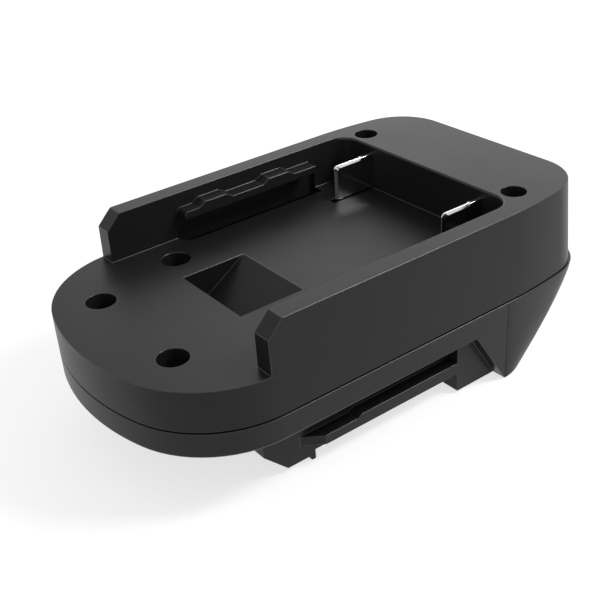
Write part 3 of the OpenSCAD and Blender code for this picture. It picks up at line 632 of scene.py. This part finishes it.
# %% Screws in their wells
def solid_boxes(node):
    """Low and high corner of each separate solid in a CAD node."""
    mesh = bmesh.new()
    mesh.from_mesh(frame["nodes"][node].data)
    bmesh.ops.remove_doubles(mesh, verts=mesh.verts, dist=MERGE)
    boxes, known = [], set()
    for start in mesh.verts:
        if start in known:
            continue
        known.add(start)
        solid = [start]
        # The list grows while it is read, until the whole solid is in it.
        for here in solid:
            for edge in here.link_edges:
                other = edge.other_vert(here)
                if other not in known:
                    known.add(other)
                    solid.append(other)
        low = Vector([min(v.co[axis] for v in solid) for axis in range(3)])
        high = Vector([max(v.co[axis] for v in solid) for axis in range(3)])
        boxes.append((low, high))
    mesh.free()
    return boxes


def screws(nodes, head_r, head_h, shank_r, length, upright=True):
    model = turned_screw(head_r, head_h, shank_r, length)
    for node in nodes:
        copies = []
        for low, high in solid_boxes(node):
            copy = bpy.data.objects.new("screw_copy", model.data.copy())
            bpy.context.collection.objects.link(copy)
            middle = (low + high) / 2
            seat = high.z - head_h if upright else low.z + head_h
            copy.location = (middle.x, middle.y, seat)
            copy.rotation_euler = (0 if upright else math.pi, 0, 0)
            copies.append(copy)
        whole = joined(copies, node + "_turned")
        dress(whole, LOOKS[node])
        settle(whole, node)
        print(node, "has", len(copies), "screws of", LOOKS[node].name)
    bpy.data.objects.remove(model)


screws(["deck_screws", "rear_screws"],
       head_r=2.8 * MM, head_h=2.0 * MM, shank_r=1.5 * MM, length=8.2 * MM)
screws(["keeper_screws"],
       head_r=2.0 * MM, head_h=1.5 * MM, shank_r=1.1 * MM, length=7.0 * MM)
screws(["carrier_screws"],
       head_r=2.0 * MM, head_h=1.5 * MM, shank_r=1.1 * MM, length=8.4 * MM, upright=False)

# %% [markdown]
# ## The floor
# The photograph has no background at all. A white world alone would leave the object floating, so
# there is a floor that glows white towards the camera and in reflections. Each of the three flags
# that tell this is 0 or 1, so a sum above a half means that one of them is set. Seven tenths of
# what is then seen is glow, and the rest is lit as usual, which keeps a trace of shadow.

# %% Floor
FLOOR_SIZE = 4
FLOOR_COLOR = (0.93, 0.93, 0.93, 1)
WHITE = (1, 1, 1, 1)
GLOW_SHARE = 0.7

bpy.ops.mesh.primitive_plane_add(size=FLOOR_SIZE, location=(0, 0, 0))
floor = bpy.context.object
floor.name = "floor"
pale = Shader("pale_floor")
pale.finish({"Base Color": FLOOR_COLOR, "Roughness": 0.9, "Specular IOR Level": 0.0})
seen = pale.node("ShaderNodeLightPath", {}, {}, "Is Camera Ray") \
    + pale.node("ShaderNodeLightPath", {}, {}, "Is Glossy Ray") \
    + pale.node("ShaderNodeLightPath", {}, {}, "Is Transmission Ray")
glow = pale.node("ShaderNodeEmission", {}, {"Color": WHITE, "Strength": 1.0})
lit = Wire(pale, pale.surface.outputs[0])
blend = pale.node("ShaderNodeMixShader", {}, {0: (seen > 0.5) * GLOW_SHARE, 1: lit, 2: glow})
pale.feed(pale.tree.nodes["Material Output"].inputs["Surface"], blend)
floor.data.materials.append(pale.material)
print("floor of", FLOOR_SIZE, "m with", len(pale.tree.nodes), "shader nodes")

# %% [markdown]
# ## The light
# The world is white, because a black gloss needs something to mirror. Light from all sides alone
# leaves every edge alike, so a small softbox above the right side gives the edges their bright
# lines, and a large weak one behind the object lifts the tops.

# %% World and lamps
WORLD_STRENGTH = 0.87
world = bpy.data.worlds.new("studio")
bpy.context.scene.world = world
world.use_nodes = True
background = world.node_tree.nodes["Background"]
background.inputs["Color"].default_value = WHITE
background.inputs["Strength"].default_value = WORLD_STRENGTH


def look_along(holder, direction, roll=0.0):
    holder.rotation_mode = "QUATERNION"
    turned = direction.to_track_quat("-Z", "Y")
    holder.rotation_quaternion = turned @ Quaternion((0, 0, 1), math.radians(roll))


def softbox(name, place, size, watts):
    """A square lamp that looks at the origin."""
    lamp = bpy.data.lights.new(name, "AREA")
    lamp.shape = "SQUARE"
    lamp.size = size
    lamp.energy = watts
    holder = bpy.data.objects.new(name, lamp)
    bpy.context.collection.objects.link(holder)
    holder.location = place
    look_along(holder, -Vector(place))
    print(name, "of", watts, "W and", size, "m")


softbox("edge_softbox", place=(0.40, -0.34, 0.57), size=0.20, watts=5.0)
softbox("back_softbox", place=(0.55, 0.55, 0.45), size=0.70, watts=1.4)

# %% [markdown]
# ## The camera
# The camera stands where the photograph's did. Its place, direction and focal length were fitted to
# the object's corners and wells. The photograph is cropped or shifted off its middle. A shift could
# copy that, but it stays in every other view too, so the camera is turned and rolled a little
# instead.

# %% Camera
CAMERA_AT = Vector((-140.89, -193.00, 160.13)) * MM
AZIMUTH, ELEVATION, ROLL = -35.15, 30.17, -4.24
LENS, SENSOR = 61.55, 36
NEAREST = 10 * MM

scene = bpy.context.scene
scene.view_settings.view_transform = "Standard"
camera_data = bpy.data.cameras.new("camera")
camera_data.lens = LENS
camera_data.sensor_width = SENSOR
camera_data.clip_start = NEAREST
camera = bpy.data.objects.new("camera", camera_data)
bpy.context.collection.objects.link(camera)
turn, tilt = math.radians(AZIMUTH), math.radians(ELEVATION)
back = Vector((math.sin(turn) * math.cos(tilt), -math.cos(turn) * math.cos(tilt), math.sin(tilt)))
camera.location = CAMERA_AT
look_along(camera, -back, ROLL)
scene.camera = camera
print("camera at", [round(v / MM) for v in camera.location], "mm with a lens of", LENS, "mm")
